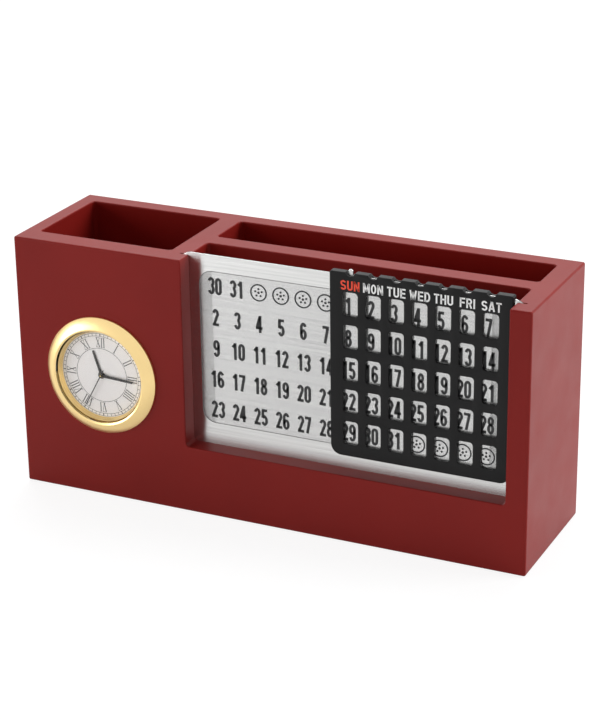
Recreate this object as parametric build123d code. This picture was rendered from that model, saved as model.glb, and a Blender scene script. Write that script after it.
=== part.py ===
"""Desk organiser with a pen cup, two letter slots, a perpetual calendar and an insert clock.

Millimetres, +Z up, +X to the right seen from the front, +Y to the back.  The origin is the
bottom centre of the wooden body.  Every sub-part is one STEP file in parts/.
"""
import os
from math import cos, radians, sin

from build123d import *

os.makedirs("parts", exist_ok=True)

# ---------------------------------------------------------------- driving dimensions
# wooden body, glued from lacquered boards
length = 200.0
depth = 55.0
height = 98.0
felt_thickness = 0.4
felt_inset = 3.0
corner_round = 0.8          # outer edges
rim_round = 0.5             # edges of the pockets and of the calendar window
cove = 1.5                  # filler in the upright corners of the pockets
front_board_thickness = 9.0
back_board_thickness = 7.0
left_end_thickness = 6.0
right_end_thickness = 8.0
base_thickness = 8.5
cup_length = 54.4
cup_divider_thickness = 8.2
slot_divider_thickness = 7.5
front_slot_depth = 12.5

# calendar window in the front board, and the metal plate that stands in saw kerfs round it
sill_height = 26.2
window_corner = 1.5
plate_set_back = 7.0        # from the front face to the face of the plate
plate_thickness = 0.6
plate_proud = 1.1           # top edge above the body
plate_corner = 4.5
side_kerf_depth = 3.6
sill_kerf_depth = 3.0
kerf_clearance = 0.1
tab_width = 1.7             # tab on the plate's top edge that a notch of the slider drops over
tab_height = 2.2
tab_off_centre = 1.2
label_thickness = 0.1       # clear printed film
label_corner = 5.0
label_side_margin = 6.2     # from the outer columns' centres to the film's edge
label_end_margin = 5.1
label_off_tab = -1.0        # the film lies a little left of the tab
label_above_grid = -0.8     # and a little below the middle of the slider's windows

# grid of dates: thirteen columns behind a slider seven columns wide
date_columns = 13
date_rows = 5
week_columns = 7
grid_side_margin = 9.98     # from the window's sides to the outer columns' centres
grid_top_margin = 9.25      # from the top of the body to the top row's centre
grid_sill_margin = 14.2     # from the sill to the bottom row's centre

# week slider, a black sheet folded over the plate's top edge
sheet_thickness = 0.85
slider_stand_off = 0.5      # from the plate to the back of the sheet
slider_off_tab = 0.3        # the notches stand a little right of the tab
slider_side_margin = 7.8
slider_bottom_margin = 9.1
slider_corner = 4.0         # at its foot
slider_shoulder = 0.8       # at the ends of its fold
upright_bar = 2.9           # metal left between the windows
level_bar = 3.2
cell_corner = 1.3
notch_radius = 2.0
notch_rise = 0.7            # of its centre above the fold
fold_round = 0.5
lip_gap = 0.25              # from the back of the plate to the lip behind it
lip_height = 5.0
hang_clearance = 0.4        # from the plate's top edge to the fold above it

# insert clock, heights counted outwards from the face of the front board
clock_from_left = 34.7      # centre, from the left end of the body
clock_height = 49.0
case_radius = 20.0
bore_clearance = 0.5
bezel_overhang = 2.5        # past the case
bezel_lip = 0.8
bezel_slope = 3.9           # from the rim in to the crest
bezel_crest = 3.3
bezel_inner_height = 3.0
bezel_dome = 0.35           # rise of the dome over a straight slope
bezel_skirt = 1.0           # wall of the skirt inside the case
crystal_inset = 2.1         # from the case's outside
crystal_thickness = 1.0
crystal_set_back = 0.1      # the glass lies this much below the bezel's inner edge
crystal_ledge = 0.4
rehaut_step = 1.4           # the slope round the dial ends this much inside the glass
case_wall = 1.2
case_shoulder = 3.0         # width of the ring behind the main plate
case_depth = 6.4
back_cover_thickness = 0.8
back_rim_depth = 0.5
grip_band = 0.2
grip_front = 1.5
grip_back = 6.0
grip_rib_clearance = 0.06
grip_ribs = 3
dial_thickness = 0.4
dial_hole_radius = 1.25
running_clearance = 0.05
loose_clearance = 0.1

# movement: plates, and the heights of the wheels between and before them
main_plate_front = -1.45
main_plate_thickness = 1.2
plate_rim_width = 1.2
bridge_front = -4.95
bridge_thickness = 0.6
bridge_radius = 12.0
bridge_low_edge = -9.3
wheel_thickness = 0.25
arbor_radius = 0.25
pivot_length = 0.45         # of an arbor, inside the bridge
pillar_radius = 0.9
pillar_places = ((-10.3, -2.5), (10.3, -2.0), (-1.0, 9.8))
screw_radius = 0.4
screw_head_radius = 0.8
screw_head_height = 0.4
back_screw_radius = 0.5
back_screw_length = 3.0
back_screws = 3

# wheels: numbers of teeth and modules
cannon_teeth, motion_teeth, motion_module = 12, 36, 0.3
motion_pinion_teeth, hour_teeth = 10, 40
second_teeth, second_module = 60, 0.15
second_pinion_teeth, third_teeth = 8, 60
third_pinion_teeth, centre_teeth = 8, 64
step_pinion_teeth = 10
step_teeth, step_module = 60, 0.12
rotor_pinion_teeth = 12
addendum = 0.85
dedendum = 1.15
tooth_fill = 0.86           # share of half a pitch that a tooth takes up
root_share, tip_share = 1.25, 0.45  # a tooth's width at its root and tip, of its width between them

hour_wheel_front = -0.55
motion_wheel_front = -0.95
centre_wheel_front = -2.85
third_wheel_front = -3.35
second_wheel_front = -3.9
step_wheel_front = -4.45
pinion_overlap = 0.08       # a pinion is this much longer than its wheel at each end
rotor_radius = 1.4
rotor_front = -3.05
rotor_back = -4.1
stator_front = -3.3
stator_thickness = 0.6
stator_gap = 0.35
stator_left, stator_right = 0.6, 9.4
stator_top, stator_bottom = -4.8, -8.9
stator_leg = 0.9
coil_middle = -10.9
coil_radius = 1.3
coil_left, coil_right = 1.6, 8.3
core_width = 0.9
board_left, board_right = -9.8, -0.2
board_top, board_bottom = -5.4, -10.4
board_front = -3.0
board_thickness = 0.4
post_inset = 1.0            # of the posts under the circuit board, from its ends
can_radius = 0.7
can_length = 5.0
battery_place = (8.5, 6.5)
battery_radius = 3.4
battery_thickness = 2.6
battery_clearance = 0.5
third_direction, step_direction, motion_direction = 180.0, -45.0, 90.0  # from the centre
contact_thickness = 0.15
contact_width = 1.2
stem_radius = 0.5
knob_radius = 2.5
knob_thickness = 1.2
knob_gap = 0.1
knob_scallops = 14
scallop_radius = 0.33

# hands and the time they show, in degrees clockwise from twelve
hour_angle, minute_angle, second_angle = -18.8, 93.8, 208.5
hour_length, minute_length, second_length = 9.8, 13.1, 14.0
second_tail = 2.6
hand_width = 1.1
hand_tip_share = 0.72       # a hand's width near its tip, of its width at the hub
second_width = 0.35
hour_hub, minute_hub, second_hub = 1.35, 1.1, 0.7
hand_thickness = 0.15
arbor_proud = 0.2           # tip of the seconds arbor before its hand
hour_hand_back, minute_hand_back, second_hand_back = 0.2, 0.55, 0.92
arbor_bore = 0.3
centre_pipe_radius = 0.5
cannon_pipe_radius = 0.75
hour_pipe_radius = 1.05

# ---------------------------------------------------------------- places worked out from them
front_y = -depth / 2
inner_front_y = front_y + front_board_thickness
inner_back_y = depth / 2 - back_board_thickness
slot_divider_y = inner_front_y + front_slot_depth
rear_slot_y = slot_divider_y + slot_divider_thickness
cup_left = -length / 2 + left_end_thickness
cup_right = cup_left + cup_length
slot_left = cup_right + cup_divider_thickness
slot_right = length / 2 - right_end_thickness
base_top = felt_thickness + base_thickness

plate_y = front_y + plate_set_back
plate_back_y = plate_y + plate_thickness
plate_top = height + plate_proud
plate_foot = sill_height - sill_kerf_depth + kerf_clearance
tab_x = (slot_left + slot_right) / 2 + tab_off_centre
column_pitch = (slot_right - slot_left - 2 * grid_side_margin) / (date_columns - 1)
row_pitch = (height - grid_top_margin - sill_height - grid_sill_margin) / (date_rows - 1)
grid_middle_height = (height - grid_top_margin + sill_height + grid_sill_margin) / 2
cell_width = column_pitch - upright_bar
cell_height = row_pitch - level_bar
slider_y = plate_y - slider_stand_off
slider_top = plate_top + hang_clearance + sheet_thickness

bore_radius = case_radius + bore_clearance
bezel_radius = case_radius + bezel_overhang
bezel_crest_radius = bezel_radius - bezel_slope
crystal_radius = case_radius - crystal_inset
bezel_inner_radius = crystal_radius + running_clearance
crystal_seat = bezel_inner_height - crystal_set_back - crystal_thickness
rehaut_radius = crystal_radius - rehaut_step
case_shoulder_radius = case_radius - case_shoulder
back_screw_circle = (case_shoulder_radius + case_radius) / 2


# ---------------------------------------------------------------- small makers
def block(x, y, z):
    """A box from its low and high corners along each axis."""
    return Pos((x[0] + x[1]) / 2, (y[0] + y[1]) / 2, (z[0] + z[1]) / 2) * Box(
        x[1] - x[0], y[1] - y[0], z[1] - z[0])


def upright(y):
    """The sketch plane at y that looks to the front: its x is +X and its y is +Z."""
    return Plane(origin=(0, y, 0), x_dir=(1, 0, 0), z_dir=(0, -1, 0))


def plain(x, y):
    """A rectangle between two pairs of limits, as a sketch."""
    return Pos((x[0] + x[1]) / 2, (y[0] + y[1]) / 2) * Rectangle(x[1] - x[0], y[1] - y[0])


def rounded(x, y, corner):
    """The same with rounded corners."""
    return Pos((x[0] + x[1]) / 2, (y[0] + y[1]) / 2) * RectangleRounded(x[1] - x[0], y[1] - y[0], corner)


def edges_where(solid, test):
    """The edges of a solid whose middle point passes the test."""
    return [edge for edge in solid.edges() if test(edge @ 0.5)]


def near(value, other):
    return abs(value - other) < 0.01


def disc(radius, low, high, place=(0, 0), bore=0.0):
    """A round piece of the clock between two heights, with an optional bore."""
    outline = Circle(radius) - Circle(bore) if bore else Circle(radius)
    return extrude(Pos(place[0], place[1], low) * outline, high - low)


def bar(x, y, low, high):
    """A rectangular piece of the clock between two heights."""
    return block(x, y, (low, high))


def polar(radius, angle):
    return (radius * cos(radians(angle)), radius * sin(radians(angle)))


def pitch_radius(teeth, module):
    return teeth * module / 2


def toothed(teeth, module, tooth_at, low, high, place=(0, 0)):
    """A toothed disc with the middle of one tooth at the angle tooth_at."""
    pitch = pitch_radius(teeth, module)
    half_pitch = 90.0 / teeth * tooth_fill
    flank = (
        (pitch - dedendum * module, root_share * half_pitch),
        (pitch, half_pitch),
        (pitch + addendum * module, tip_share * half_pitch),
    )
    outline = []
    for tooth in range(teeth):
        middle = tooth_at + 360.0 / teeth * tooth
        outline += [polar(radius, middle - half) for radius, half in flank]
        outline += [polar(radius, middle + half) for radius, half in reversed(flank)]
    face = make_face(Polyline(*outline, close=True))
    return extrude(Pos(place[0], place[1], low) * face, high - low)


def pinion(teeth, module, tooth_at, wheel_front, place=(0, 0)):
    """A pinion that meshes with the wheel whose front is at the given height."""
    return toothed(teeth, module, tooth_at, wheel_front - wheel_thickness - pinion_overlap,
                   wheel_front + pinion_overlap, place)


def wheel(teeth, module, tooth_at, front, place=(0, 0)):
    return toothed(teeth, module, tooth_at, front - wheel_thickness, front, place)


parts = {}


# ---------------------------------------------------------------- wooden body
def pocket(x, y, front_coves=True):
    """A pocket from above down to the base board, with coved upright corners."""
    outline = rounded(x, y, cove)
    if not front_coves:
        outline += plain(x, (y[0], y[1] - 2 * cove))
    return extrude(Pos(0, 0, base_top) * outline, height)


def body_blank():
    """The whole body as one shape, before it is parted into its boards."""
    body = block((-length / 2, length / 2), (front_y, depth / 2), (felt_thickness, height))
    body = fillet(body.edges(), corner_round)
    body -= pocket((cup_left, cup_right), (inner_front_y, inner_back_y))
    body -= pocket((slot_left, slot_right), (rear_slot_y, inner_back_y))
    body -= pocket((slot_left, slot_right), (inner_front_y, slot_divider_y), front_coves=False)
    window = rounded((slot_left, slot_right), (sill_height, 2 * height), window_corner)
    window_back = inner_front_y + cove
    body -= extrude(upright(window_back) * window, window_back - front_y + corner_round)
    body = fillet(rim_edges(body), rim_round)
    kerf_front = plate_y - kerf_clearance
    kerf_back = plate_back_y + kerf_clearance
    body -= block((slot_left - side_kerf_depth, slot_right + side_kerf_depth), (kerf_front, kerf_back),
                  (sill_height - sill_kerf_depth, 2 * height))
    return body - in_clock(disc(bore_radius, -front_board_thickness - loose_clearance, bezel_crest))


def rim_edges(body):
    """The edges round the mouths of the pockets and round the front of the window."""
    def is_rim(point):
        inside_top = near(point.Z, height) and abs(point.X) < length / 2 - corner_round - rim_round / 2
        on_window_side = near(point.X, slot_left) or near(point.X, slot_right)
        round_corner = on_window_side and point.Y < front_y + corner_round and point.Z > height - corner_round
        window_front = (near(point.Y, front_y) and sill_height - 0.1 < point.Z < height - corner_round
                        and slot_left - 0.1 < point.X < slot_right + 0.1)
        outer = near(point.Y, depth / 2 - corner_round) or near(point.Y, front_y + corner_round)
        return (inside_top and not outer) or round_corner or window_front
    return edges_where(body, is_rim)


def in_clock(shape):
    """Carries a piece from the clock's own frame (z outwards) to its place in the front board."""
    return Location((-length / 2 + clock_from_left, front_y, clock_height), (90, 0, 0)) * shape


def part_boards(body):
    """Parts the body into the boards that it is glued from and the filler in the pockets' corners."""
    everywhere = 2 * length
    full_z = (0, 2 * height)
    pocket_z = (base_top, 2 * height)
    cup_x = (cup_left, cup_right)
    slot_x = (slot_left, slot_right)
    between_y = (inner_front_y, inner_back_y)
    regions = {
        "front_board": block((-everywhere, everywhere), (-everywhere, inner_front_y), full_z),
        "back_board": block((-everywhere, everywhere), (inner_back_y, everywhere), full_z),
        "left_end_board": block((-everywhere, cup_left), between_y, full_z),
        "right_end_board": block((slot_right, everywhere), between_y, full_z),
        "cup_divider": block((cup_right, slot_left), between_y, pocket_z),
        "slot_divider": block(slot_x, (slot_divider_y, rear_slot_y), pocket_z),
        "base_board": block((cup_left, slot_right), between_y, (0, base_top)),
        "corner_filler": block(cup_x, between_y, pocket_z)
        + block(slot_x, (inner_front_y, slot_divider_y), pocket_z)
        + block(slot_x, (rear_slot_y, inner_back_y), pocket_z),
    }
    for name, space in regions.items():
        parts[name] = body & space


part_boards(body_blank())

felt = RectangleRounded(length - 2 * felt_inset, depth - 2 * felt_inset, corner_round)
parts["felt_base"] = extrude(felt, felt_thickness)


# ---------------------------------------------------------------- calendar plate and its film
def grid_span(columns, pitch):
    return (columns - 1) * pitch


def calendar_plate():
    """The metal plate, with rounded top corners and a round-ended tab on its top edge."""
    left = slot_left - side_kerf_depth + kerf_clearance
    right = slot_right + side_kerf_depth - kerf_clearance
    sheet = rounded((left, right), (plate_foot, plate_top), plate_corner)
    sheet += plain((left, right), (plate_foot, sill_height))
    tab_end = plate_top + tab_height - tab_width / 2
    sheet += Pos(tab_x, (plate_foot + tab_end) / 2) * Rectangle(tab_width, tab_end - plate_foot)
    sheet += Pos(tab_x, tab_end) * Circle(tab_width / 2)
    return extrude(upright(plate_back_y) * sheet, plate_thickness)


def date_label():
    """The clear film that carries the dates, on the face of the plate."""
    middle = tab_x + label_off_tab
    middle_height = grid_middle_height + label_above_grid
    half_width = grid_span(date_columns, column_pitch) / 2 + label_side_margin
    half_height = grid_span(date_rows, row_pitch) / 2 + label_end_margin
    outline = rounded((middle - half_width, middle + half_width),
                      (middle_height - half_height, middle_height + half_height), label_corner)
    return extrude(upright(plate_y) * outline, label_thickness)


parts["calendar_plate"] = calendar_plate()
parts["date_label"] = date_label()


# ---------------------------------------------------------------- week slider
def week_slider():
    """A sheet with a window for each date, folded over the plate, with a notch over each weekday."""
    first_column = tab_x + slider_off_tab
    last_column = first_column + grid_span(week_columns, column_pitch)
    left = first_column - slider_side_margin
    right = last_column + slider_side_margin
    bottom = grid_middle_height - grid_span(date_rows, row_pitch) / 2 - slider_bottom_margin
    sheet = rounded((left, right), (bottom, slider_top), slider_corner)
    sheet += rounded((left, right), (bottom + slider_corner, slider_top), slider_shoulder)
    middle = ((first_column + last_column) / 2, grid_middle_height)
    windows = GridLocations(column_pitch, row_pitch, week_columns, date_rows)
    sheet -= Pos(*middle) * windows * RectangleRounded(cell_width, cell_height, cell_corner)
    front = extrude(upright(slider_y) * sheet, sheet_thickness)
    lip_y = plate_back_y + lip_gap
    fold = block((left, right), (slider_y - sheet_thickness, lip_y + sheet_thickness),
                 (slider_top - sheet_thickness, slider_top))
    lip = block((left, right), (lip_y, lip_y + sheet_thickness), (slider_top - lip_height, slider_top))
    shoulders = rounded((left, right), (bottom, slider_top), slider_shoulder)
    hook = (front + fold + lip) & extrude(upright(depth) * shoulders, 2 * depth)
    hook = fillet(edges_where(hook, lambda point: near(point.Z, slider_top)
                              and left + slider_shoulder < point.X < right - slider_shoulder), fold_round)
    row = GridLocations(column_pitch, row_pitch, week_columns, 1)
    notches = Sketch() + Pos(middle[0], slider_top + notch_rise) * row * Circle(notch_radius)
    return hook - extrude(upright(lip_y + 2 * sheet_thickness) * notches, front_board_thickness)


parts["week_slider"] = week_slider()


# ---------------------------------------------------------------- clock: case, bezel, glass and dial
def turned(outline):
    """A piece turned about the clock's axis from its half section (radius, height)."""
    return revolve(Plane.XZ * make_face(outline), Axis.Z)


def bezel():
    """The ring that shows: a domed front, a seat for the glass and a skirt inside the case."""
    skirt_radius = case_radius - case_wall - loose_clearance
    dial_radius = main_rim_radius + running_clearance
    outline = Curve() + [
        Line((bezel_radius, 0), (bezel_radius, bezel_lip)),
        ThreePointArc((bezel_radius, bezel_lip),
                      ((bezel_radius + bezel_crest_radius) / 2, (bezel_lip + bezel_crest) / 2 + bezel_dome),
                      (bezel_crest_radius, bezel_crest)),
        Polyline((bezel_crest_radius, bezel_crest),
                 (bezel_inner_radius, bezel_inner_height), (bezel_inner_radius, crystal_seat),
                 (crystal_radius - crystal_ledge, crystal_seat),
                 (rehaut_radius, 0), (dial_radius, 0),
                 (dial_radius, main_plate_front), (skirt_radius, main_plate_front),
                 (skirt_radius, 0), (bezel_radius, 0)),
    ]
    return turned(outline)


main_rim_radius = case_radius - case_wall - loose_clearance - bezel_skirt
main_plate_back = main_plate_front - main_plate_thickness
main_plate_radius = case_radius - case_wall - running_clearance
back_face = -case_depth - back_cover_thickness
bridge_back = bridge_front - bridge_thickness

clock = {}
clock["bezel"] = bezel()
clock["crystal_lens"] = disc(crystal_radius, crystal_seat, crystal_seat + crystal_thickness)
clock["dial"] = disc(main_rim_radius, -dial_thickness, 0, bore=dial_hole_radius)


# ---------------------------------------------------------------- clock: where the wheels stand
motion_distance = pitch_radius(cannon_teeth + motion_teeth, motion_module)
hour_module = 2 * motion_distance / (motion_pinion_teeth + hour_teeth)
third_distance = pitch_radius(second_pinion_teeth + third_teeth, second_module)
centre_module = 2 * third_distance / (third_pinion_teeth + centre_teeth)
step_distance = pitch_radius(step_pinion_teeth + second_teeth, second_module)
rotor_distance = step_distance + pitch_radius(rotor_pinion_teeth + step_teeth, step_module)
motion_place = polar(motion_distance, motion_direction)
stem_place = (motion_place[0] - motion_distance, motion_place[1])
third_place = polar(third_distance, third_direction)
step_place = polar(step_distance, step_direction)
rotor_place = polar(rotor_distance, step_direction)
pivots = (third_place, step_place, rotor_place)
pivot_bore = arbor_radius + running_clearance


def clock_case():
    """The moulded ring of the case, with the shoulder that carries the main plate."""
    front = disc(case_radius, main_plate_back, 0, bore=case_radius - case_wall)
    back = disc(case_radius, -case_depth, main_plate_back, bore=case_shoulder_radius)
    holes = [disc(back_screw_radius, 2 * back_face, -case_depth + back_screw_length, place)
             for place in back_screw_places]
    return front + back - holes


def back_cover():
    """The cover behind the movement, with the hole for the setting stem."""
    cover = disc(case_radius, back_face, -case_depth)
    cover += disc(case_shoulder_radius - loose_clearance, -case_depth, -case_depth + back_rim_depth,
                  bore=case_shoulder_radius - loose_clearance - case_wall)
    cover -= disc(stem_radius + running_clearance, 2 * back_face, 0, stem_place)
    return cover - [disc(back_screw_radius, 2 * back_face, 0, place) for place in back_screw_places]


back_screw_places = [polar(back_screw_circle, 90 + 360 / back_screws * index) for index in range(back_screws)]
clock["clock_case"] = clock_case()
clock["back_cover"] = back_cover()
clock["back_screws"] = Compound([
    disc(back_screw_radius, -case_depth + back_screw_length, back_face, place)
    + disc(2 * back_screw_radius, back_face - screw_head_height, back_face, place)
    for place in back_screw_places])

grip = disc(case_radius + grip_band, -grip_back, -grip_front, bore=case_radius)
rib_pitch = (grip_back - grip_front) / grip_ribs
for index in range(grip_ribs):
    rib_front = -grip_front - index * rib_pitch
    grip += disc(bore_radius - grip_rib_clearance, rib_front - rib_pitch / 2, rib_front, bore=case_radius)
clock["grip_ring"] = grip


# ---------------------------------------------------------------- clock: plates of the movement
def main_plate():
    """The plate that carries the dial, the train, the battery and the electric parts."""
    plate = disc(main_plate_radius, main_plate_back, main_plate_front)
    plate += disc(main_rim_radius, main_plate_front, -dial_thickness, bore=main_rim_radius - plate_rim_width)
    plate += disc(stem_radius, main_plate_front, hour_wheel_front + pinion_overlap, motion_place)
    for place in pillar_places:
        plate += disc(pillar_radius, bridge_front, main_plate_back, place, bore=screw_radius)
    for x in (stator_left + stator_leg / 2, stator_right - stator_leg / 2):
        plate += disc(stator_leg / 2, stator_front, main_plate_back, (x, (stator_top + stator_bottom) / 2))
    for x in (board_left + post_inset, board_right - post_inset):
        plate += disc(stator_leg / 2, board_front, main_plate_back, (x, (board_top + board_bottom) / 2))
    plate -= disc(centre_pipe_radius + running_clearance, 2 * main_plate_back, 0)
    plate -= disc(stem_radius + running_clearance, 2 * main_plate_back, 0, stem_place)
    return plate - [disc(pivot_bore, 2 * main_plate_back, 0, place) for place in pivots]


def train_bridge():
    """The bridge that holds the back pivots, cut away round the battery and the coil."""
    outline = Circle(bridge_radius) - Pos(0, bridge_low_edge - bridge_radius) * Rectangle(
        4 * bridge_radius, 2 * bridge_radius)
    outline -= Pos(*battery_place) * Circle(battery_radius + battery_clearance)
    outline -= Circle(pivot_bore)
    for place in pivots:
        outline -= Pos(*place) * Circle(pivot_bore)
    for place in pillar_places:
        outline -= Pos(*place) * Circle(screw_radius)
    outline -= Pos(*stem_place) * Circle(stem_radius + loose_clearance)
    return extrude(Pos(0, 0, bridge_back) * outline, bridge_thickness)


clock["main_plate"] = main_plate()
clock["train_bridge"] = train_bridge()
clock["bridge_screws"] = Compound([
    disc(screw_radius, bridge_back, main_plate_back, place)
    + disc(screw_head_radius, bridge_back - screw_head_height, bridge_back, place)
    for place in pillar_places])


# ---------------------------------------------------------------- clock: electric parts
def stator():
    """The soft-iron plate round the rotor, with two legs down to the coil's core."""
    x = (stator_left, stator_right)
    back = stator_front - stator_thickness
    plate = bar(x, (stator_bottom, stator_top), back, stator_front)
    foot = coil_middle - core_width / 2
    for leg in ((x[0], x[0] + stator_leg), (x[1] - stator_leg, x[1])):
        plate += bar(leg, (foot, stator_bottom), back, stator_front)
    return plate - disc(rotor_radius + stator_gap, 2 * back, 0, rotor_place)


core_back = stator_front - 2 * stator_thickness
core_y = (coil_middle - core_width / 2, coil_middle + core_width / 2)
coil_axis_height = stator_front - 1.5 * stator_thickness
clock["stator"] = stator()
clock["coil_core"] = bar((stator_left, stator_right), core_y, core_back, stator_front - stator_thickness)
coil = Cylinder(coil_radius, coil_right - coil_left, rotation=(0, 90, 0))
coil = Pos((coil_left + coil_right) / 2, coil_middle, coil_axis_height) * coil
clock["coil"] = coil - clock["coil_core"]
clock["circuit_board"] = bar((board_left, board_right), (board_bottom, board_top),
                             board_front - board_thickness, board_front)
can = Cylinder(can_radius, can_length, rotation=(0, 90, 0))
clock["quartz_can"] = Pos((board_left + board_right) / 2, (board_top + board_bottom) / 2 + can_radius,
                          board_front - board_thickness - can_radius) * can
battery_back = main_plate_back - battery_thickness
clock["battery"] = disc(battery_radius, battery_back, main_plate_back, battery_place)
contact_left = battery_place[0] - battery_radius - 2 * contact_width
clock["battery_contact"] = bar(
    (contact_left, battery_place[0] + contact_width),
    (battery_place[1] - contact_width / 2, battery_place[1] + contact_width / 2),
    bridge_back - contact_thickness, bridge_back,
) + disc(contact_width / 2, bridge_back, battery_back, battery_place)


# ---------------------------------------------------------------- clock: wheels and arbors
def arbor(place, front=main_plate_front - main_plate_thickness / 2,
          back=bridge_front - pivot_length):
    return disc(arbor_radius, back, front, place)


def facing(teeth, direction):
    """The angle of a tooth for which a gap, and no tooth, lies in the given direction."""
    return direction + 180.0 / teeth


second_tip = second_hand_back + hand_thickness + arbor_proud
cannon_front = minute_hand_back + hand_thickness + running_clearance
cannon_back = motion_wheel_front - wheel_thickness - pinion_overlap
hour_front = hour_hand_back + hand_thickness + running_clearance

clock["seconds_wheel"] = (
    wheel(second_teeth, second_module, step_direction, second_wheel_front)
    + pinion(second_pinion_teeth, second_module, third_direction, third_wheel_front)
    + arbor((0, 0), front=second_tip))
clock["third_wheel"] = (
    wheel(third_teeth, second_module, facing(third_teeth, third_direction + 180), third_wheel_front, third_place)
    + pinion(third_pinion_teeth, centre_module, third_direction + 180, centre_wheel_front, third_place)
    + arbor(third_place))
centre = wheel(centre_teeth, centre_module, facing(centre_teeth, third_direction), centre_wheel_front)
centre += disc(centre_pipe_radius, centre_wheel_front, minute_hand_back)
clock["centre_wheel"] = centre - disc(arbor_bore, 2 * centre_wheel_front, second_tip)
clock["step_wheel"] = (
    wheel(step_teeth, step_module, step_direction, step_wheel_front, step_place)
    + pinion(step_pinion_teeth, second_module, facing(step_pinion_teeth, step_direction + 180),
             second_wheel_front, step_place)
    + arbor(step_place))
clock["rotor"] = (
    disc(rotor_radius, rotor_back, rotor_front, rotor_place)
    + pinion(rotor_pinion_teeth, step_module, facing(rotor_pinion_teeth, step_direction + 180),
             step_wheel_front, rotor_place)
    + arbor(rotor_place))

cannon = pinion(cannon_teeth, motion_module, facing(cannon_teeth, motion_direction), motion_wheel_front)
cannon += disc(cannon_pipe_radius, cannon_back, cannon_front)
clock["cannon_pinion"] = cannon - disc(centre_pipe_radius + running_clearance, 2 * cannon_back, cannon_front)
hour_wheel = wheel(hour_teeth, hour_module, facing(hour_teeth, motion_direction), hour_wheel_front)
hour_wheel += disc(hour_pipe_radius, hour_wheel_front, hour_front)
clock["hour_wheel"] = hour_wheel - disc(cannon_pipe_radius + running_clearance, 2 * cannon_back, cannon_front)
motion = wheel(motion_teeth, motion_module, motion_direction + 180, motion_wheel_front, motion_place)
motion += toothed(motion_pinion_teeth, hour_module, motion_direction + 180, motion_wheel_front,
                  hour_wheel_front + pinion_overlap, motion_place)
clock["motion_wheel"] = motion - disc(stem_radius + running_clearance, 2 * cannon_back, 0, motion_place)

knob_back = back_face - knob_gap - knob_thickness
scallops = Pos(*stem_place, 0) * PolarLocations(knob_radius, knob_scallops) * Circle(
    scallop_radius)
knob = Pos(*stem_place, 0) * Circle(knob_radius) - scallops
clock["setting_knob"] = (
    extrude(Pos(0, 0, knob_back) * knob, knob_thickness)
    + disc(stem_radius, knob_back, motion_wheel_front + pinion_overlap, stem_place)
    + pinion(cannon_teeth, motion_module, facing(cannon_teeth, 0), motion_wheel_front, stem_place))


# ---------------------------------------------------------------- clock: hands
def baton(reach, width, angle, back, hub, bore):
    """A slightly tapered hand with a round end and a round hub, pressed on its pipe."""
    root, tip = width / 2, hand_tip_share * width / 2
    blade = make_face(Curve() + [
        Line((-root, 0), (-tip, reach - tip)),
        ThreePointArc((-tip, reach - tip), (0, reach), (tip, reach - tip)),
        Polyline((tip, reach - tip), (root, 0), (-root, 0)),
    ])
    outline = Rot(0, 0, -angle) * blade + Circle(hub) - Circle(bore)
    return extrude(Pos(0, 0, back) * outline, hand_thickness)


def sweep_hand():
    """The thin second hand with its tail and boss."""
    blade = Pos(0, (second_length - second_tail) / 2) * Rectangle(second_width, second_length + second_tail)
    outline = Rot(0, 0, -second_angle) * blade + Circle(second_hub) - Circle(arbor_radius)
    return extrude(Pos(0, 0, second_hand_back) * outline, hand_thickness)


clock["hour_hand"] = baton(hour_length, hand_width, hour_angle, hour_hand_back, hour_hub, hour_pipe_radius)
clock["minute_hand"] = baton(minute_length, hand_width, minute_angle, minute_hand_back,
                             minute_hub, cannon_pipe_radius)
clock["second_hand"] = sweep_hand()

for name, piece in clock.items():
    parts[name] = in_clock(piece)

for name, piece in parts.items():
    export_step(piece, f"parts/{name}.step")
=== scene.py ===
# Desk organiser in red lacquer, with a perpetual calendar and an insert clock.
# The sections follow the object as it is put together, from its boards to the clock's glass.
import math
import bpy
from mathutils import Matrix, Vector


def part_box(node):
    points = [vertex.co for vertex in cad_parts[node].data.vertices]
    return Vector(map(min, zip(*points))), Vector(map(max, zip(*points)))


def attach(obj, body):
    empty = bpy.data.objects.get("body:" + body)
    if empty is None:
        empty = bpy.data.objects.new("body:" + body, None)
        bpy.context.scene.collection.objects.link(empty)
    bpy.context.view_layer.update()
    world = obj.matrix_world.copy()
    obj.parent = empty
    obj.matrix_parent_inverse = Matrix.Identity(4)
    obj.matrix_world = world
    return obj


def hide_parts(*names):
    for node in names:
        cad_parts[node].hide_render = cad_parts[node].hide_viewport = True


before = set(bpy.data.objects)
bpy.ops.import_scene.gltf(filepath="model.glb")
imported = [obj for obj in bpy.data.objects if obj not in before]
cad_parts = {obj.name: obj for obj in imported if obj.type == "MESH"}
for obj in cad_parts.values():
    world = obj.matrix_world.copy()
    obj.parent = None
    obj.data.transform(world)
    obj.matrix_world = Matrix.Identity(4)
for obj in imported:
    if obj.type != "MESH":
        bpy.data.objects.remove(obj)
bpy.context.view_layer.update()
bpy.ops.object.select_all(action='DESELECT')


# ---- The box ----
# Seven boards of dense fibreboard are glued into a box with a pen cup and two letter slots.
# It is sanded, its joints and inner corners are filled, and it is sprayed dark red.
# The lacquer is satin, with a faint orange peel and a gloss that varies a little.
def new_finish(name):
    """A material with its nodes, its links and its shader, and the object's own coordinates."""
    material = bpy.data.materials.new(name)
    material.use_nodes = True
    nodes = material.node_tree.nodes
    shader = nodes["Principled BSDF"]
    place = nodes.new("ShaderNodeTexCoord").outputs["Object"]
    return material, nodes, material.node_tree.links, shader, place


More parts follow.
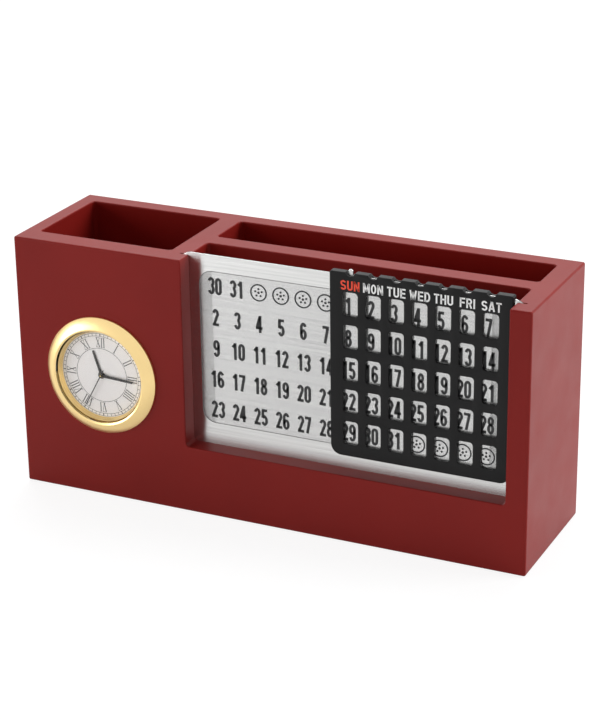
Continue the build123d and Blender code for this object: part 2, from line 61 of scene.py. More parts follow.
def stretched(nodes, links, place, scale):
    """Coordinates stretched so that a pattern on them is finer along one axis than another."""
    mapping = nodes.new("ShaderNodeMapping")
    mapping.inputs["Scale"].default_value = scale
    links.new(place, mapping.inputs["Vector"])
    return mapping.outputs["Vector"]


def mottle(nodes, links, place, scale, low, high, detail=4.0):
    """A soft noise that runs from one value to another."""
    noise = nodes.new("ShaderNodeTexNoise")
    noise.inputs["Scale"].default_value = scale
    noise.inputs["Detail"].default_value = detail
    links.new(place, noise.inputs["Vector"])
    spread = nodes.new("ShaderNodeMapRange")
    spread.inputs["From Min"].default_value = 0.3
    spread.inputs["From Max"].default_value = 0.7
    spread.inputs["To Min"].default_value = low
    spread.inputs["To Max"].default_value = high
    links.new(noise.outputs["Fac"], spread.inputs["Value"])
    return spread.outputs["Result"]


def between(nodes, links, amount, dark, pale):
    """A colour that goes from a dark to a pale one with the amount."""
    mix = nodes.new("ShaderNodeMix")
    mix.data_type = 'RGBA'
    mix.inputs["A"].default_value = (*dark, 1.0)
    mix.inputs["B"].default_value = (*pale, 1.0)
    links.new(amount, mix.inputs["Factor"])
    return mix.outputs["Result"]


def relief(nodes, links, height, depth, strength):
    """A bump of that depth in metres."""
    bump = nodes.new("ShaderNodeBump")
    bump.inputs["Distance"].default_value = depth
    bump.inputs["Strength"].default_value = strength
    links.new(height, bump.inputs["Height"])
    return bump.outputs["Normal"]


def finish_node(name, material):
    """Gives a CAD node its material."""
    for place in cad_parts[name].material_slots:
        place.material = material


red_lacquer, nodes, links, shader, place = new_finish("red_lacquer")
cloud = mottle(nodes, links, place, 28.0, 0.0, 1.0)
links.new(between(nodes, links, cloud, (0.215, 0.0095, 0.0070), (0.240, 0.0115, 0.0085)),
          shader.inputs["Base Color"])
links.new(mottle(nodes, links, place, 70.0, 0.33, 0.41), shader.inputs["Roughness"])
peel = mottle(nodes, links, place, 900.0, 0.0, 1.0, detail=2.0)
links.new(relief(nodes, links, peel, 0.00006, 0.10), shader.inputs["Normal"])
shader.inputs["Specular IOR Level"].default_value = 0.16
shader.inputs["Sheen Weight"].default_value = 0.05
shader.inputs["Sheen Roughness"].default_value = 0.30

for board in ("base_board", "front_board", "back_board", "left_end_board", "right_end_board",
              "cup_divider", "slot_divider", "corner_filler"):
    finish_node(board, red_lacquer)


# ---- The felt under the base ----
# A thin sheet of black felt is glued under the base, a little inside its edges.
# It is needled wool, so its fibres lie every way, matt and slightly fuzzy.
felt, nodes, links, shader, place = new_finish("black_felt")
fibres = mottle(nodes, links, place, 1400.0, 0.0, 1.0, detail=6.0)
links.new(between(nodes, links, fibres, (0.010, 0.010, 0.011), (0.040, 0.039, 0.040)),
          shader.inputs["Base Color"])
links.new(relief(nodes, links, fibres, 0.0003, 0.6), shader.inputs["Normal"])
shader.inputs["Roughness"].default_value = 0.95
shader.inputs["Sheen Weight"].default_value = 0.4
shader.inputs["Sheen Roughness"].default_value = 0.5
finish_node("felt_base", felt)


# ---- The calendar plate ----
# A plate of aluminium stands in two saw cuts behind the window, and sits on the sill.
# Its faces are brushed along its length; its sawn edges are only broken and dull, and their dark
# colour is painted shade.
broken_edge = 0.00014


def worked_copy(node, name, painted_glint=None):
    """A copy of a CAD node with its edges broken; they take the painted highlight material, if there
    is one.
    """
    piece = bpy.data.objects.new(name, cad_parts[node].data.copy())
    bpy.context.scene.collection.objects.link(piece)
    bpy.ops.object.select_all(action='DESELECT')
    piece.select_set(True)
    bpy.context.view_layer.objects.active = piece
    bpy.ops.mesh.customdata_custom_splitnormals_clear()
    bpy.ops.object.mode_set(mode='EDIT')
    bpy.ops.mesh.select_all(action='SELECT')
    bpy.ops.mesh.remove_doubles(threshold=0.000002)
    bpy.ops.mesh.dissolve_limited(angle_limit=math.radians(0.5))
    bpy.ops.object.mode_set(mode='OBJECT')
    broken = piece.modifiers.new("broken_edges", 'BEVEL')
    broken.width = broken_edge
    broken.segments = 2
    broken.limit_method = 'ANGLE'
    broken.angle_limit = math.radians(35)
    broken.use_clamp_overlap = True
    if painted_glint is not None:
        piece.data.materials.append(painted_glint)
        broken.material = len(piece.data.materials) - 1
    bpy.ops.object.modifier_apply(modifier=broken.name)
    bpy.ops.object.shade_smooth_by_angle(angle=math.radians(40))
    return piece


brushed, nodes, links, shader, place = new_finish("brushed_aluminium")
strokes = mottle(nodes, links, stretched(nodes, links, place, (22.0, 400.0, 1900.0)),
                 1.0, 0.0, 1.0, detail=5.0)
fine_strokes = mottle(nodes, links, stretched(nodes, links, place, (70.0, 900.0, 5200.0)),
                      1.0, 0.0, 1.0, detail=2.0)
links.new(between(nodes, links, strokes, (0.62, 0.62, 0.615), (0.71, 0.71, 0.70)),
          shader.inputs["Base Color"])
links.new(mottle(nodes, links, stretched(nodes, links, place, (30.0, 400.0, 1200.0)),
                 1.0, 0.22, 0.27), shader.inputs["Roughness"])
links.new(relief(nodes, links, fine_strokes, 0.00001, 0.3), shader.inputs["Normal"])
upwards = nodes.new("ShaderNodeTangent")
upwards.direction_type = 'RADIAL'
upwards.axis = 'X'
links.new(upwards.outputs["Tangent"], shader.inputs["Tangent"])
shader.inputs["Anisotropic"].default_value = 0.9
shader.inputs["Metallic"].default_value = 1.0

# The sawn edges' dark colour is painted shade; their saw marks are real.
sawn_edge_painted_shade, nodes, links, shader, place = new_finish("sawn_aluminium_painted_shade")
teeth = mottle(nodes, links, stretched(nodes, links, place, (2400.0, 300.0, 2400.0)),
               1.0, 0.0, 1.0)
links.new(between(nodes, links, teeth, (0.035, 0.035, 0.035), (0.100, 0.100, 0.098)),
          shader.inputs["Base Color"])
links.new(relief(nodes, links, teeth, 0.00002, 0.4), shader.inputs["Normal"])
shader.inputs["Roughness"].default_value = 0.55
shader.inputs["Specular IOR Level"].default_value = 0.2

plate = worked_copy("calendar_plate", "brushed_calendar_plate")
plate.data.materials.clear()
plate.data.materials.append(brushed)
plate.data.materials.append(sawn_edge_painted_shade)
for face in plate.data.polygons:
    is_sawn = abs(face.normal.y) < 0.3
    face.material_index = 1 if is_sawn else 0
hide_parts("calendar_plate")
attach(plate, "organiser")


# ---- The printed film ----
# A clear self-adhesive film carries the dates, screen-printed in black.
# It is rubbed down by hand onto the plate, so a thin grey rim and a few air beads show.
film, nodes, links, shader, place = new_finish("clear_film")
shader.inputs["Base Color"].default_value = (0.93, 0.93, 0.94, 1.0)
links.new(mottle(nodes, links, place, 120.0, 0.12, 0.24), shader.inputs["Roughness"])
beads = mottle(nodes, links, place, 260.0, 0.0, 1.0, detail=1.0)
links.new(relief(nodes, links, beads, 0.00003, 0.15), shader.inputs["Normal"])
shader.inputs["Alpha"].default_value = 0.10
finish_node("date_label", film)

ink, nodes, links, shader, place = new_finish("black_ink")
cover = mottle(nodes, links, place, 900.0, 0.0, 1.0)
links.new(between(nodes, links, cover, (0.008, 0.008, 0.009), (0.022, 0.022, 0.023)),
          shader.inputs["Base Color"])
links.new(mottle(nodes, links, place, 500.0, 0.42, 0.55), shader.inputs["Roughness"])


def laid_flat(pieces, name):
    """Joins flat prints, drawn on the ground with their faces up, into one print."""
    bpy.ops.object.select_all(action='DESELECT')
    for piece in pieces:
        piece.select_set(True)
    bpy.context.view_layer.objects.active = pieces[0]
    bpy.ops.object.transform_apply()
    if len(pieces) > 1:
        bpy.ops.object.join()
    pieces[0].name = name
    pieces[0].data.name = name
    return pieces[0]


def stood_up(piece, x, y, z):
    """Stands a flat print up, so that its face looks forwards, with its origin at that point."""
    bpy.ops.object.select_all(action='DESELECT')
    piece.select_set(True)
    bpy.context.view_layer.objects.active = piece
    piece.rotation_euler = (math.radians(90), 0.0, 0.0)
    piece.location = (x, y, z)
    bpy.ops.object.transform_apply()
    return piece


def face_up(piece):
    """Turns a flat print over if it lies face down."""
    if sum(face.normal.z * face.area for face in piece.data.polygons) < 0:
        piece.data.flip_normals()


def straight_stroke(x, y, to_x, to_y, width):
    """A straight printed stroke between two points, with square ends."""
    bpy.ops.mesh.primitive_plane_add(size=1.0)
    stroke = bpy.context.object
    stroke.scale = (width, math.hypot(to_x - x, to_y - y), 1.0)
    bpy.ops.object.transform_apply()
    stroke.location = ((x + to_x) / 2, (y + to_y) / 2, 0.0)
    stroke.rotation_euler = (0.0, 0.0, math.atan2(x - to_x, to_y - y))
    bpy.ops.object.transform_apply()
    return stroke


def round_stroke(x, y, across, up, start, end, width):
    """Part of an oval printed stroke, anticlockwise between two angles in degrees."""
    bpy.ops.mesh.primitive_circle_add(vertices=48, radius=1.0)
    stroke = bpy.context.object
    stroke.scale = (across + width / 2, up + width / 2, 1.0)
    bpy.ops.object.transform_apply()
    bpy.ops.object.mode_set(mode='EDIT')
    bpy.ops.mesh.select_all(action='SELECT')
    bpy.ops.mesh.extrude_edges_move()
    bpy.ops.transform.resize(value=((across - width / 2) / (across + width / 2),
                                    (up - width / 2) / (up + width / 2), 1.0),
                             center_override=(0.0, 0.0, 0.0))
    bpy.ops.mesh.select_all(action='DESELECT')
    bpy.ops.object.mode_set(mode='OBJECT')
    for face in stroke.data.polygons:
        turn = math.degrees(math.atan2(face.center.y / up, face.center.x / across))
        face.select = (turn - start) % 360 > end - start
    bpy.ops.object.mode_set(mode='EDIT')
    bpy.ops.mesh.delete(type='FACE')
    bpy.ops.object.mode_set(mode='OBJECT')
    face_up(stroke)
    stroke.location = (x, y, 0.0)
    bpy.ops.object.transform_apply()
    return stroke


def drawn_sign(strokes, width, name):
    """A figure or a letter, from its straight strokes (four numbers) and its round ones (six)."""
    return laid_flat([(straight_stroke if len(stroke) == 4 else round_stroke)(*stroke, width)
                      for stroke in strokes], name)


def sign_copy(signs, character):
    """A copy of a drawn sign, with its own mesh."""
    copy = bpy.data.objects.new(character, signs[character].data.copy())
    bpy.context.scene.collection.objects.link(copy)
    return copy


def set_date(signs, date, x, y):
    """Copies of drawn figures, set side by side with their middle at a point."""
    line = []
    for number, character in enumerate(date):
        figure = sign_copy(signs, character)
        shift = (number - (len(date) - 1) / 2) * figure_advance
        figure.location = (x + shift, y - figure_height / 2, 0.0)
        line.append(figure)
    return line


def discard(signs):
    """Puts the drawn signs away once their copies are set."""
    for sign in signs.values():
        bpy.data.meshes.remove(sign.data)


def printed_ring(radius, width, x=0.0, y=0.0, sides=48):
    """A flat ring with that outer radius."""
    bpy.ops.mesh.primitive_circle_add(vertices=sides, radius=radius, location=(x, y, 0.0))
    ring = bpy.context.object
    bpy.ops.object.transform_apply()
    bpy.ops.object.mode_set(mode='EDIT')
    bpy.ops.mesh.select_all(action='SELECT')
    bpy.ops.mesh.extrude_edges_move()
    bpy.ops.transform.resize(value=(1 - width / radius, 1 - width / radius, 1.0),
                             center_override=(x, y, 0.0))
    bpy.ops.mesh.select_all(action='SELECT')
    bpy.ops.mesh.normals_make_consistent(inside=False)
    bpy.ops.object.mode_set(mode='OBJECT')
    face_up(ring)
    return ring


def printed_dot(radius, x, y):
    """A flat dot."""
    bpy.ops.mesh.primitive_circle_add(vertices=16, radius=radius, fill_type='NGON',
                                      location=(x, y, 0.0))
    dot = bpy.context.object
    bpy.ops.object.transform_apply()
    face_up(dot)
    return dot


film_low, film_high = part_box("date_label")
film_middle_x = (film_low.x + film_high.x) / 2
film_middle_z = (film_low.z + film_high.z) / 2
print_lift = 0.00002
column_pitch = 0.00863
row_pitch = 0.01188
columns = 13
rows = 5
# The first day stands in the seventh column. Where a month runs into a sixth week, the two days
# of that week are read at the head of the first row.
first_day_column = 6
last_day = 31
sixth_week_days = 2

# The figures are condensed: their sides stand 0.79 mm from the axis.
figure_height = 0.0064
figure_stroke = 0.00101
figure_advance = 0.00283
side, foot, head = 0.00079, 0.00049, 0.00591
six = ((0, 0.00195, side, 0.00148, 0, 360), (-side, 0.00195, -side, 0.00435),
       (0, 0.00435, side, 0.00158, 20, 180))
figure_strokes = {
    "0": ((-side, 0.0016, -side, 0.0048), (side, 0.0016, side, 0.0048),
          (0, 0.0016, side, 0.00113, 180, 360), (0, 0.0048, side, 0.00113, 0, 180)),
    "1": ((0.0003, 0, 0.0003, figure_height), (0.00025, 0.0059, -0.0007, 0.0047)),
    "2": ((0, 0.00455, side, 0.00138, -25, 165), (0.00062, 0.0040, -0.0006, 0.0006),
          (-0.00121, foot, 0.00121, foot)),
    "3": ((0, 0.00468, side, 0.00125, -90, 165), (0, 0.00187, side, 0.00140, -165, 90)),
    "4": ((0.00038, 0, 0.00038, figure_height), (-0.00128, 0.0018, 0.00128, 0.0018),
          (0.00026, 0.0059, -0.00085, 0.0019)),
    "5": ((-0.0010, head, 0.00108, head), (-0.00060, head, -0.00072, 0.0030),
          (0, 0.00200, side, 0.00153, -160, 145)),
    "6": six,
    "7": ((-0.00121, head, 0.00121, head), (0.00076, 0.0057, -0.0003, 0)),
    "8": ((0, 0.00472, 0.00068, 0.00121, 0, 360), (0, 0.00191, side, 0.00144, 0, 360)),
}
figures = {}
for character, strokes in figure_strokes.items():
    figures[character] = drawn_sign(strokes, figure_stroke, "figure_" + character)
figures["9"] = drawn_sign(six, figure_stroke, "figure_9")
figures["9"].rotation_euler = (0.0, 0.0, math.radians(180))
figures["9"].location = (0.0, figure_height, 0.0)
bpy.ops.object.transform_apply()


def blank_day(x, y):
    """The mark of a day without a date: a ring round a dot with five dots about it."""
    ring_radius, ring_width, dot_radius, petal_radius, petal_reach = (
        0.00325, 0.0005, 0.00045, 0.00038, 0.00135)
    mark = [printed_ring(ring_radius, ring_width, x, y), printed_dot(dot_radius, x, y)]
    for petal in range(5):
        turn = math.radians(90 + 72 * petal)
        mark.append(printed_dot(petal_radius, x + petal_reach * math.cos(turn),
                                y + petal_reach * math.sin(turn)))
    return mark


dates = []
for row in range(rows):
    for column in range(columns):
        x = (column - (columns - 1) / 2) * column_pitch
        y = ((rows - 1) / 2 - row) * row_pitch
        day = 7 * row + column - first_day_column + 1
        if 1 <= day <= last_day:
            dates += set_date(figures, str(day), x, y)
        elif row == 0 and column < sixth_week_days:
            dates += set_date(figures, str(last_day - sixth_week_days + 1 + column), x, y)
        else:
            dates += blank_day(x, y)
discard(figures)
printed_dates = stood_up(laid_flat(dates, "printed_dates"), film_middle_x,
                         film_low.y - print_lift, film_middle_z)
printed_dates.data.materials.clear()
printed_dates.data.materials.append(ink)
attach(printed_dates, "organiser")


# ---- The film's rim ----
# The film's cut edge shows as a thin grey line with round corners. The die that cut it left it
# slightly raised, and its grey varies a little.
rim_grey, nodes, links, shader, place = new_finish("film_rim")
rim_tone = mottle(nodes, links, place, 400.0, 0.0, 1.0)
links.new(between(nodes, links, rim_tone, (0.16, 0.16, 0.16), (0.34, 0.34, 0.335)),
          shader.inputs["Base Color"])
shader.inputs["Roughness"].default_value = 0.6

film_corner = 0.005
rim_width = 0.00022
bpy.ops.mesh.primitive_plane_add(size=1.0)
film_rim = bpy.context.object
film_rim.scale = (film_high.x - film_low.x, film_high.z - film_low.z, 1.0)
bpy.ops.object.transform_apply()
bpy.ops.object.mode_set(mode='EDIT')
bpy.ops.mesh.select_all(action='SELECT')
bpy.ops.mesh.bevel(offset=film_corner, segments=8, affect='VERTICES')
bpy.ops.mesh.select_all(action='SELECT')
bpy.ops.mesh.inset(thickness=rim_width)
bpy.ops.mesh.delete(type='FACE')
bpy.ops.object.mode_set(mode='OBJECT')
face_up(film_rim)
laid_flat([film_rim], "film_rim")
stood_up(film_rim, film_middle_x, film_low.y - print_lift / 2, film_middle_z)
film_rim.data.materials.append(rim_grey)
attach(film_rim, "organiser")


# ---- The week slider ----
# A black sheet is pierced with thirty-five windows and folded over the plate's top edge.
# It is pressed steel, powder-coated semi-matt, and its broken edges are paler: a painted highlight.
black_coat, nodes, links, shader, place = new_finish("black_coat")
coat = mottle(nodes, links, place, 60.0, 0.0, 1.0)
links.new(between(nodes, links, coat, (0.0115, 0.0115, 0.0118), (0.0145, 0.0145, 0.0148)),
          shader.inputs["Base Color"])
links.new(mottle(nodes, links, place, 300.0, 0.30, 0.38), shader.inputs["Roughness"])
shader.inputs["Specular IOR Level"].default_value = 0.15
powder = mottle(nodes, links, place, 2600.0, 0.0, 1.0, detail=1.0)
links.new(relief(nodes, links, powder, 0.00002, 0.2), shader.inputs["Normal"])

# A paler colour on the slider's broken edges: a painted highlight where the edges catch the light.
painted_edge_highlight, nodes, links, shader, place = new_finish("painted_edge_highlight")
painted_glint = mottle(nodes, links, place, 350.0, 0.0, 1.0)
links.new(between(nodes, links, painted_glint, (0.020, 0.020, 0.021), (0.200, 0.200, 0.200)),
          shader.inputs["Base Color"])
shader.inputs["Roughness"].default_value = 0.35

slider = worked_copy("week_slider", "coated_week_slider", painted_edge_highlight)
slider.data.materials[0] = black_coat
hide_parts("week_slider")
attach(slider, "slider")


# ---- The weekdays on the slider ----
# The seven weekdays are printed above the windows in bold narrow capitals.
# The first is printed in orange-red, the six others in white, both in opaque screen ink.
def screen_ink(name, thin, full):
    """An opaque printed colour, slightly thinner in places."""
    colour, nodes, links, shader, place = new_finish(name)
    cover = mottle(nodes, links, place, 1200.0, 0.0, 1.0)
    links.new(between(nodes, links, cover, thin, full), shader.inputs["Base Color"])
    links.new(mottle(nodes, links, place, 600.0, 0.45, 0.6), shader.inputs["Roughness"])
    return colour


def spaced_word(signs, word, gap):
    """Copies of drawn letters, each as wide as it is, with one gap between them."""
    line = []
    edge = 0.0
    for character in word:
        letter = sign_copy(signs, character)
        left = min(vertex.co.x for vertex in letter.data.vertices)
        right = max(vertex.co.x for vertex in letter.data.vertices)
        letter.location = (edge - left, 0.0, 0.0)
        edge += right - left + gap
        line.append(letter)
    for letter in line:
        letter.location.x -= (edge - gap) / 2
    return line


slider_low, slider_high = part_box("week_slider")
slider_margin = 0.0078
weekday_drop = 0.0064
first_column = slider_low.x + slider_margin
weekday_foot = slider_high.z - weekday_drop
# The capitals are 3.5 mm high, and as condensed as the dates.
letter_stroke = 0.00061
letter_gap = 0.00040
side, foot, head, middle, top = 0.00075, 0.00030, 0.00320, 0.00178, 0.0035
letter_strokes = {
    "A": ((-0.00086, 0, -0.00008, top), (0.00086, 0, 0.00008, top),
          (-0.0005, 0.001, 0.0005, 0.001)),
    "D": ((-side, 0, -side, top), (-side, head, 0, head), (-side, foot, 0, foot),
          (0, 0.00175, side, 0.00144, -90, 90)),
    "E": ((-side, 0, -side, top), (-side, head, 0.0009, head), (-side, middle, 0.0008, middle),
          (-side, foot, 0.0009, foot)),
    "F": ((-side, 0, -side, top), (-side, head, 0.0009, head), (-side, middle, 0.0007, middle)),
    "H": ((-side, 0, -side, top), (side, 0, side, top), (-side, middle, side, middle)),
    "I": ((0, 0, 0, top),),
    "M": ((-0.00096, 0, -0.00096, top), (0.00096, 0, 0.00096, top),
          (-0.00085, 0.0033, 0, 0.0006), (0.00085, 0.0033, 0, 0.0006)),
    "N": ((-side, 0, -side, top), (side, 0, side, top), (-side, 0.0033, side, 0.0002)),
    "O": ((0, 0.00175, 0.0007, 0.00144, 0, 360),),
    "R": ((-side, 0, -side, top), (-side, head, 0.0001, head), (-side, 0.00165, 0.0001, 0.00165),
          (0.0001, 0.00242, 0.0006, 0.00077, -90, 90), (0.0001, 0.0017, 0.0008, 0)),
    "S": ((0, 0.00247, side, 0.00072, 25, 270), (0, 0.00103, side, 0.00072, -155, 90)),
    "T": ((-0.00098, head, 0.00098, head), (0, 0, 0, head)),
    "U": ((-side, 0.0010, -side, top), (side, 0.0010, side, top),
          (0, 0.0010, side, 0.00069, 180, 360)),
    "W": ((-0.00106, top, -0.00052, 0.0001), (-0.00052, 0.0001, 0, 0.0029),
          (0, 0.0029, 0.00052, 0.0001), (0.00052, 0.0001, 0.00106, top)),
}
letters = {}
for character, strokes in letter_strokes.items():
    letters[character] = drawn_sign(strokes, letter_stroke, "letter_" + character)
rest_day_ink = screen_ink("orange_red_ink", (0.92, 0.062, 0.022), (0.96, 0.080, 0.028))
white_ink = screen_ink("white_ink", (0.93, 0.93, 0.92), (0.97, 0.97, 0.96))
for number, weekday in enumerate(("SUN", "MON", "TUE", "WED", "THU", "FRI", "SAT")):
    word = laid_flat(spaced_word(letters, weekday, letter_gap), "weekday_%d" % number)
    stood_up(word, first_column + number * column_pitch, slider_low.y - print_lift, weekday_foot)
    word.data.materials.clear()
    word.data.materials.append(white_ink if number else rest_day_ink)
    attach(word, "slider")
discard(letters)


# ---- The clock's case ----
# The case is moulded in black plastic and takes the movement from behind.
# A back cover, held by small screws, closes it, and a rubber ring grips the bore in the board.
def moulded(name, dark, pale, roughness, grain=1500.0):
    """Moulded plastic or rubber with a fine spark-eroded grain."""
    plastic, nodes, links, shader, place = new_finish(name)
    cloud = mottle(nodes, links, place, 90.0, 0.0, 1.0)
    links.new(between(nodes, links, cloud, dark, pale), shader.inputs["Base Color"])
    links.new(mottle(nodes, links, place, 400.0, roughness - 0.05, roughness + 0.05),
              shader.inputs["Roughness"])
    pits = mottle(nodes, links, place, grain, 0.0, 1.0, detail=2.0)
    links.new(relief(nodes, links, pits, 0.00003, 0.25), shader.inputs["Normal"])
    return plastic


black_plastic = moulded("black_plastic", (0.014, 0.014, 0.014), (0.024, 0.024, 0.025), 0.45)
grip_rubber = moulded("grip_rubber", (0.018, 0.018, 0.018), (0.030, 0.029, 0.028), 0.75, 900.0)
finish_node("clock_case", black_plastic)
finish_node("back_cover", black_plastic)
finish_node("grip_ring", grip_rubber)


# ---- The movement ----
# A quartz movement drives the hands: a stepping motor, and a train of wheels between two plates.
# Steel, brass and copper parts are turned or pressed, and left bare. Two wheels are moulded.
def bare_metal(name, dark, pale, roughness, grain=(600.0, 600.0, 600.0)):
    """Bare turned or pressed metal, with fine tool marks."""
    metal, nodes, links, shader, place = new_finish(name)
    marks = mottle(nodes, links, stretched(nodes, links, place, grain), 1.0, 0.0, 1.0)
    links.new(between(nodes, links, marks, dark, pale), shader.inputs["Base Color"])
    links.new(mottle(nodes, links, place, 500.0, roughness - 0.06, roughness + 0.06),
              shader.inputs["Roughness"])
    links.new(relief(nodes, links, marks, 0.00001, 0.2), shader.inputs["Normal"])
    shader.inputs["Metallic"].default_value = 1.0
    return metal


steel = bare_metal("bare_steel", (0.48, 0.48, 0.49), (0.62, 0.62, 0.63), 0.30)
brass = bare_metal("turned_brass", (0.72, 0.50, 0.20), (0.84, 0.62, 0.28), 0.28)
copper_wire = bare_metal("enamelled_copper", (0.62, 0.22, 0.10), (0.78, 0.32, 0.16), 0.32,
                         grain=(400.0, 400.0, 9000.0))
cell_steel = bare_metal("nickelled_cell", (0.66, 0.66, 0.65), (0.78, 0.78, 0.77), 0.22)
pale_plastic = moulded("pale_wheel_plastic", (0.70, 0.69, 0.65), (0.80, 0.79, 0.75), 0.45)
circuit = moulded("circuit_board_green", (0.015, 0.095, 0.045), (0.020, 0.125, 0.060), 0.35)
for name in ("back_screws", "bridge_screws", "train_bridge", "stator", "coil_core", "rotor"):
    finish_node(name, steel)
for name in ("main_plate", "battery_contact", "seconds_wheel", "third_wheel", "centre_wheel",
             "cannon_pinion", "hour_wheel"):
    finish_node(name, brass)
for name in ("step_wheel", "motion_wheel"):
    finish_node(name, pale_plastic)
for name in ("quartz_can", "battery"):
    finish_node(name, cell_steel)
finish_node("setting_knob", black_plastic)
finish_node("coil", copper_wire)
finish_node("circuit_board", circuit)


# ---- The dial ----
# The dial is a disc of coated card, printed in thin grey-black with Roman numerals.
# The numerals stand round with their feet to the middle, between a thin circle and the track.
dial_card, nodes, links, shader, place = new_finish("dial_card")
tone = mottle(nodes, links, place, 700.0, 0.0, 1.0, detail=5.0)
links.new(between(nodes, links, tone, (0.970, 0.925, 0.918), (0.985, 0.950, 0.942)),
          shader.inputs["Base Color"])
links.new(relief(nodes, links, tone, 0.00001, 0.15), shader.inputs["Normal"])
shader.inputs["Roughness"].default_value = 0.6
finish_node("dial", dial_card)

dial_ink = screen_ink("dial_ink", (0.045, 0.042, 0.042), (0.075, 0.070, 0.070))

numeral_foot = 0.0109
numeral_head = 0.0146
thick_stroke = 0.00032
thin_stroke = 0.00014
letter_widths = {"I": 0.00096, "V": 0.00200, "X": 0.00205}
inner_circle = 0.01052
track_inside, track_outside = 0.01526, 0.01626


def numeral(characters):
    """A Roman numeral standing on the twelve o'clock line, with serifs along its head and foot."""
    strokes = []
    x = -sum(letter_widths[character] for character in characters) / 2
    for character in characters:
        x += letter_widths[character] / 2
        reach = letter_widths[character] * 0.34
        serif = letter_widths[character] * 0.40
        # Each slope runs from a shift at the foot to a shift at the head.
        slopes = {"I": ((0.0, 0.0, thick_stroke),),
                  "V": ((0.0, -reach, thick_stroke), (0.0, reach, thin_stroke)),
                  "X": ((reach, -reach, thick_stroke), (-reach, reach, thin_stroke))}
        for at_foot, at_head, width in slopes[character]:
            strokes.append(straight_stroke(x + at_foot, numeral_foot, x + at_head, numeral_head,
                                           width))
        for height in (numeral_foot, numeral_head):
            strokes.append(straight_stroke(x - serif, height, x + serif, height, thin_stroke))
        x += letter_widths[character] / 2
    return laid_flat(strokes, "numeral")


def turned_to(print_at_twelve, degrees):
    """Turns a print clockwise round the dial's middle."""
    print_at_twelve.rotation_euler = (0.0, 0.0, -math.radians(degrees))
    bpy.ops.object.transform_apply()
    return print_at_twelve


dial_print = [printed_ring(inner_circle, 0.00016, sides=96),
              printed_ring(track_inside, thin_stroke, sides=120),
              printed_ring(track_outside, thin_stroke, sides=120)]
for hour, characters in enumerate(("XII", "I", "II", "III", "IIII", "V", "VI", "VII", "VIII",
                                   "IX", "X", "XI")):
    dial_print.append(turned_to(numeral(characters), 30 * hour))
for minute in range(60):
    width = 0.00034 if minute % 5 == 0 else 0.00016
    dash = straight_stroke(0.0, track_inside - thin_stroke / 2,
                           0.0, track_outside - thin_stroke / 2, width)
    dial_print.append(turned_to(dash, 6 * minute))

dial_low, dial_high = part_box("dial")
clock_x = (dial_low.x + dial_high.x) / 2
clock_z = (dial_low.z + dial_high.z) / 2
dial_figures = stood_up(laid_flat(dial_print, "dial_figures"), clock_x,
                        dial_low.y - print_lift, clock_z)
dial_figures.data.materials.clear()
dial_figures.data.materials.append(dial_ink)
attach(dial_figures, "clock")


# ---- The hands ----
# Three pressed hands turn on their arbors: the hour and minute hands taper towards their tips.
# The second hand is a thin needle with a short tail. All are sprayed dark grey and satin.
hand_paint, nodes, links, shader, place = new_finish("hand_grey")
spray = mottle(nodes, links, place, 800.0, 0.0, 1.0)
links.new(between(nodes, links, spray, (0.040, 0.036, 0.036), (0.060, 0.055, 0.055)),
          shader.inputs["Base Color"])
links.new(mottle(nodes, links, place, 900.0, 0.36, 0.46), shader.inputs["Roughness"])
shader.inputs["Metallic"].default_value = 0.2
for name in ("hour_hand", "minute_hand", "second_hand"):
    finish_node(name, hand_paint)


# ---- The bezel and the glass ----
# The bezel is spun from brass, gilded, and satin-brushed round and round.
# A flat mineral glass sits in its seat, above the step that frames the dial.
gold, nodes, links, shader, place = new_finish("satin_gold")
centred = nodes.new("ShaderNodeMapping")
centred.inputs["Location"].default_value = (-clock_x, -dial_low.y, -clock_z)
links.new(place, centred.inputs["Vector"])
turned = nodes.new("ShaderNodeTexWave")
turned.wave_type = 'RINGS'
turned.rings_direction = 'Y'
turned.inputs["Scale"].default_value = 900.0
turned.inputs["Distortion"].default_value = 2.5
turned.inputs["Detail"].default_value = 3.0
links.new(centred.outputs["Vector"], turned.inputs["Vector"])
links.new(between(nodes, links, turned.outputs["Fac"], (0.91, 0.66, 0.29), (0.96, 0.74, 0.36)),
          shader.inputs["Base Color"])
links.new(mottle(nodes, links, place, 300.0, 0.27, 0.36), shader.inputs["Roughness"])
links.new(relief(nodes, links, turned.outputs["Fac"], 0.000006, 0.25), shader.inputs["Normal"])
shader.inputs["Metallic"].default_value = 1.0
finish_node("bezel", gold)


def any_ray(nodes, links, *kinds):
    """One where the light path is of any of these kinds, and nought elsewhere."""
    path = nodes.new("ShaderNodeLightPath")
    found = path.outputs[kinds[0]]
    for kind in kinds[1:]:
        either = nodes.new("ShaderNodeMath")
        either.operation = 'MAXIMUM'
        links.new(found, either.inputs[0])
        links.new(path.outputs[kind], either.inputs[1])
        found = either.outputs["Value"]
    return found


def blended_surface(nodes, links, share, usual, other):
    """Shows the usual shader, with that share of another one."""
    blend = nodes.new("ShaderNodeMixShader")
    links.new(share, blend.inputs["Fac"])
    links.new(usual, blend.inputs[1])
    links.new(other, blend.inputs[2])
    links.new(blend.outputs["Shader"], nodes["Material Output"].inputs["Surface"])


glass, nodes, links, shader, place = new_finish("clock_glass")
shader.inputs["Base Color"].default_value = (0.98, 0.99, 0.985, 1.0)
shader.inputs["Transmission Weight"].default_value = 1.0
shader.inputs["IOR"].default_value = 1.12
links.new(mottle(nodes, links, place, 80.0, 0.0, 0.015), shader.inputs["Roughness"])
lets_light = nodes.new("ShaderNodeBsdfTransparent")
blended_surface(nodes, links, any_ray(nodes, links, "Is Shadow Ray", "Is Diffuse Ray"),
                shader.outputs["BSDF"], lets_light.outputs["BSDF"])
finish_node("crystal_lens", glass)


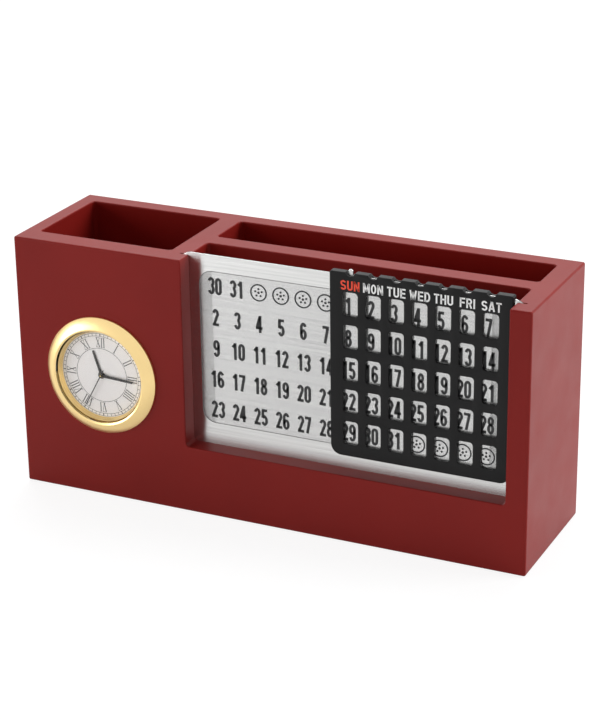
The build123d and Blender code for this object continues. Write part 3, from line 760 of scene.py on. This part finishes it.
# ---- The table top ----
# A sheet of matt white paper lies under the organiser, and isn't part of it.
# It glows a little where it is looked at or mirrored, so that it is white but keeps the shadow.
paper, nodes, links, shader, place = new_finish("white_paper")
links.new(between(nodes, links, mottle(nodes, links, place, 3.0, 0.0, 1.0),
                  (0.93, 0.93, 0.93), (0.95, 0.95, 0.95)), shader.inputs["Base Color"])
shader.inputs["Roughness"].default_value = 0.9
shader.inputs["Specular IOR Level"].default_value = 0.1
glow = nodes.new("ShaderNodeEmission")
glow.inputs["Strength"].default_value = 1.1
path = nodes.new("ShaderNodeLightPath")
mirrored = nodes.new("ShaderNodeMath")
mirrored.operation = 'MULTIPLY'
mirrored.inputs[1].default_value = 0.6
links.new(path.outputs["Is Glossy Ray"], mirrored.inputs[0])
looked_at = nodes.new("ShaderNodeMath")
looked_at.operation = 'MULTIPLY_ADD'
looked_at.inputs[1].default_value = 0.8
links.new(path.outputs["Is Camera Ray"], looked_at.inputs[0])
links.new(mirrored.outputs["Value"], looked_at.inputs[2])
blended_surface(nodes, links, looked_at.outputs["Value"],
                shader.outputs["BSDF"], glow.outputs["Emission"])
bpy.ops.mesh.primitive_plane_add(size=8.0)
table_top = bpy.context.object
table_top.name = "table_top"
table_top.data.materials.append(paper)


# ---- The studio ----
# Soft light comes from above the back and from the right, and a weaker one from the front left.
# The room is white, and shows as white in glass and metal.
def soft_light(name, place, towards, width, power):
    """A square soft box that looks at a point."""
    bpy.ops.object.light_add(type='AREA', location=place)
    lamp = bpy.context.object
    lamp.name = name
    lamp.data.shape = 'SQUARE'
    lamp.data.size = width
    lamp.data.energy = power
    lamp.rotation_euler = (Vector(towards) - Vector(place)).to_track_quat('-Z', 'Y').to_euler()


soft_light("back_light", place=(-0.20, 0.55, 1.00), towards=(0.0, 0.0, 0.05),
           width=0.9, power=11.3)
soft_light("right_light", place=(1.00, 0.42, 0.50), towards=(0.0, 0.0, 0.07),
           width=0.6, power=8.4)
soft_light("front_light", place=(-1.10, -0.75, 0.28), towards=(0.0, 0.0, 0.05),
           width=0.7, power=7.0)

room = bpy.data.worlds.new("white_room")
bpy.context.scene.world = room
room.use_nodes = True
nodes, links = room.node_tree.nodes, room.node_tree.links
level = nodes.new("ShaderNodeMapRange")
level.inputs["To Min"].default_value = 0.28
level.inputs["To Max"].default_value = 1.0
links.new(any_ray(nodes, links, "Is Camera Ray", "Is Glossy Ray", "Is Transmission Ray"),
          level.inputs["Value"])
links.new(level.outputs["Result"], nodes["Background"].inputs["Strength"])
nodes["Background"].inputs["Color"].default_value = (1.0, 1.0, 1.0, 1.0)


# ---- The camera ----
# The photographer stands to the right of the front and looks down at the organiser.
# The lens is long, so that the box keeps its edges nearly parallel.
bpy.ops.object.camera_add()
camera = bpy.context.object
camera.data.sensor_width = 36.0
camera.data.lens = 111.25
camera_place = (0.32492, -0.67799, 0.35675)
yaw, pitch, roll = math.radians(25.466), math.radians(21.860), math.radians(-0.766)
camera.matrix_world = (Matrix.Translation(camera_place)
                       @ Matrix.Rotation(yaw, 4, 'Z')
                       @ Matrix.Rotation(math.radians(90) - pitch, 4, 'X')
                       @ Matrix.Rotation(roll, 4, 'Z'))
bpy.context.scene.camera = camera
bpy.context.scene.view_settings.view_transform = 'Standard'
